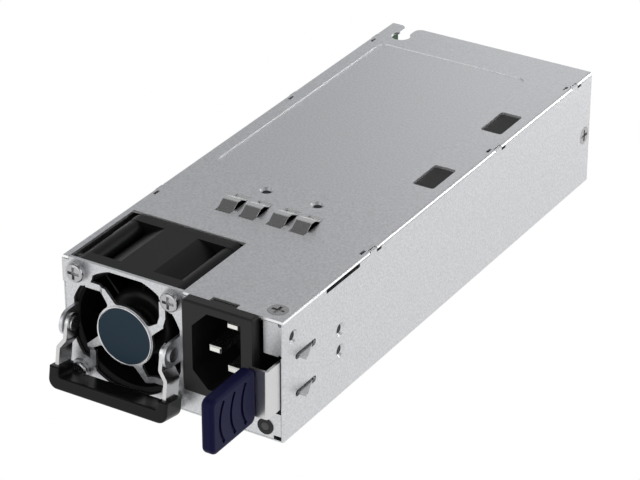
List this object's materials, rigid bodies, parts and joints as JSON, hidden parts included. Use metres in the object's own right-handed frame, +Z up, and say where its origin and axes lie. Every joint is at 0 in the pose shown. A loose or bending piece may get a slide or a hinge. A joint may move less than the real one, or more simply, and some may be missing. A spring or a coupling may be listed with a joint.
{
  "type": "hot swap server power supply",
  "caption": "Slim hot swap power supply for a server rack bay, with fan, rotated mains inlet, folding handle, side latch and rear card edge.",
  "frame": {"origin": "centre of the case's bottom face", "axes": "+X to the right seen from the front, +Y from the front with the fan to the rear with the card edge, +Z up"},
  "size_m": [0.0764, 0.2213, 0.0408],
  "materials": {
    "galvanised_steel": "satin zinc-coated sheet",
    "spring_steel": "smooth rolled strip",
    "bright_steel": "bright plated",
    "pin_metal": "tin plated",
    "fan_plastic": "fine matte moulding",
    "inlet_plastic": "fine matte moulding",
    "grip_plastic": "fine matte moulding",
    "tab_plastic": "satin indigo moulding",
    "badge_paint": "satin slate blue",
    "lens_plastic": "clear diffuser",
    "insulating_film": "matte film",
    "board_laminate": "green solder mask",
    "contact_gold": "gold plated",
    "standoff_brass": "turned",
    "ferrite": "sintered",
    "powder_core": "coated yellow",
    "stator_steel": "stacked sheets",
    "copper_wire": "enamelled copper",
    "winding_tape": "polyester tape",
    "film_capacitor": "moulded box",
    "ceramic": "dipped ceramic",
    "relay_case": "moulded case",
    "fuse_ceramic": "ceramic tube",
    "chip_black": "moulded package",
    "heatsink_aluminium": "extruded",
    "capacitor_sleeve": "shrink sleeve",
    "lead_red": "insulated lead",
    "lead_brown": "insulated lead"
  },
  "bodies": {
    "case": {"base_chassis": "galvanised_steel", "top_cover": "galvanised_steel", "front_grille": "galvanised_steel", "badge_disc": "badge_paint", "badge_rim": "bright_steel", "corner_bracket": "galvanised_steel", "bracket_rivets": "bright_steel", "rear_panel": "galvanised_steel", "insulating_sheet": "insulating_film", "ground_fingers": "spring_steel", "finger_rivets": "bright_steel", "cover_screws": "bright_steel", "fan_frame": "fan_plastic", "fan_bearings": "bright_steel", "fan_stator_core": "stator_steel", "fan_coils": "copper_wire", "fan_screws": "bright_steel", "handle_rivets": "bright_steel", "inlet_housing": "inlet_plastic", "inlet_pins": "pin_metal", "latch_pad": "spring_steel", "latch_rivets": "bright_steel", "lamp_ring": "inlet_plastic", "lamp_lens": "lens_plastic", "main_board": "board_laminate", "edge_contacts": "contact_gold", "board_standoffs": "standoff_brass", "board_screws": "bright_steel", "filter_choke_core": "ferrite", "filter_choke_windings": "copper_wire", "boost_choke_core": "powder_core", "boost_choke_winding": "copper_wire", "output_choke_core": "powder_core", "output_choke_winding": "copper_wire", "x_capacitors": "film_capacitor", "y_capacitors": "ceramic", "relay": "relay_case", "fuse": "fuse_ceramic", "fuse_clips": "bright_steel", "bridge_rectifier": "chip_black", "rectifier_heatsink": "heatsink_aluminium", "bulk_capacitor": "capacitor_sleeve", "power_transistors": "chip_black", "transistor_heatsink": "heatsink_aluminium", "transformer_core": "ferrite", "transformer_winding": "winding_tape", "output_heatsink": "heatsink_aluminium", "output_rectifiers": "chip_black", "output_capacitors": "capacitor_sleeve", "control_card": "board_laminate", "control_chips": "chip_black", "inlet_leads": "lead_brown", "fan_leads": "lead_red"},
    "rotor": {"fan_rotor": "fan_plastic", "fan_magnet": "ferrite", "fan_shaft": "bright_steel"},
    "handle": {"handle_bail": "spring_steel", "handle_grip": "grip_plastic"},
    "latch": {"latch_spring": "spring_steel", "latch_tab": "tab_plastic"}
  },
  "joints": [
    {"name": "fan_spin", "type": "hinge", "parent": "case", "child": "rotor", "pos_m": [-0.0151, -0.0772, 0.0195], "axis": [0, 1, 0], "continuous": true},
    {"name": "handle_swing", "type": "hinge", "parent": "case", "child": "handle", "pos_m": [-0.0151, -0.0963, 0.0204], "axis": [-1, 0, 0], "range_deg": [0, 155]},
    {"name": "latch_press", "type": "hinge", "parent": "case", "child": "latch", "pos_m": [0.03535, -0.0663, 0.01875], "axis": [0, 0, -1], "range_deg": [0, 9.5], "stiffness_Nm_per_rad": 2}
  ]
}
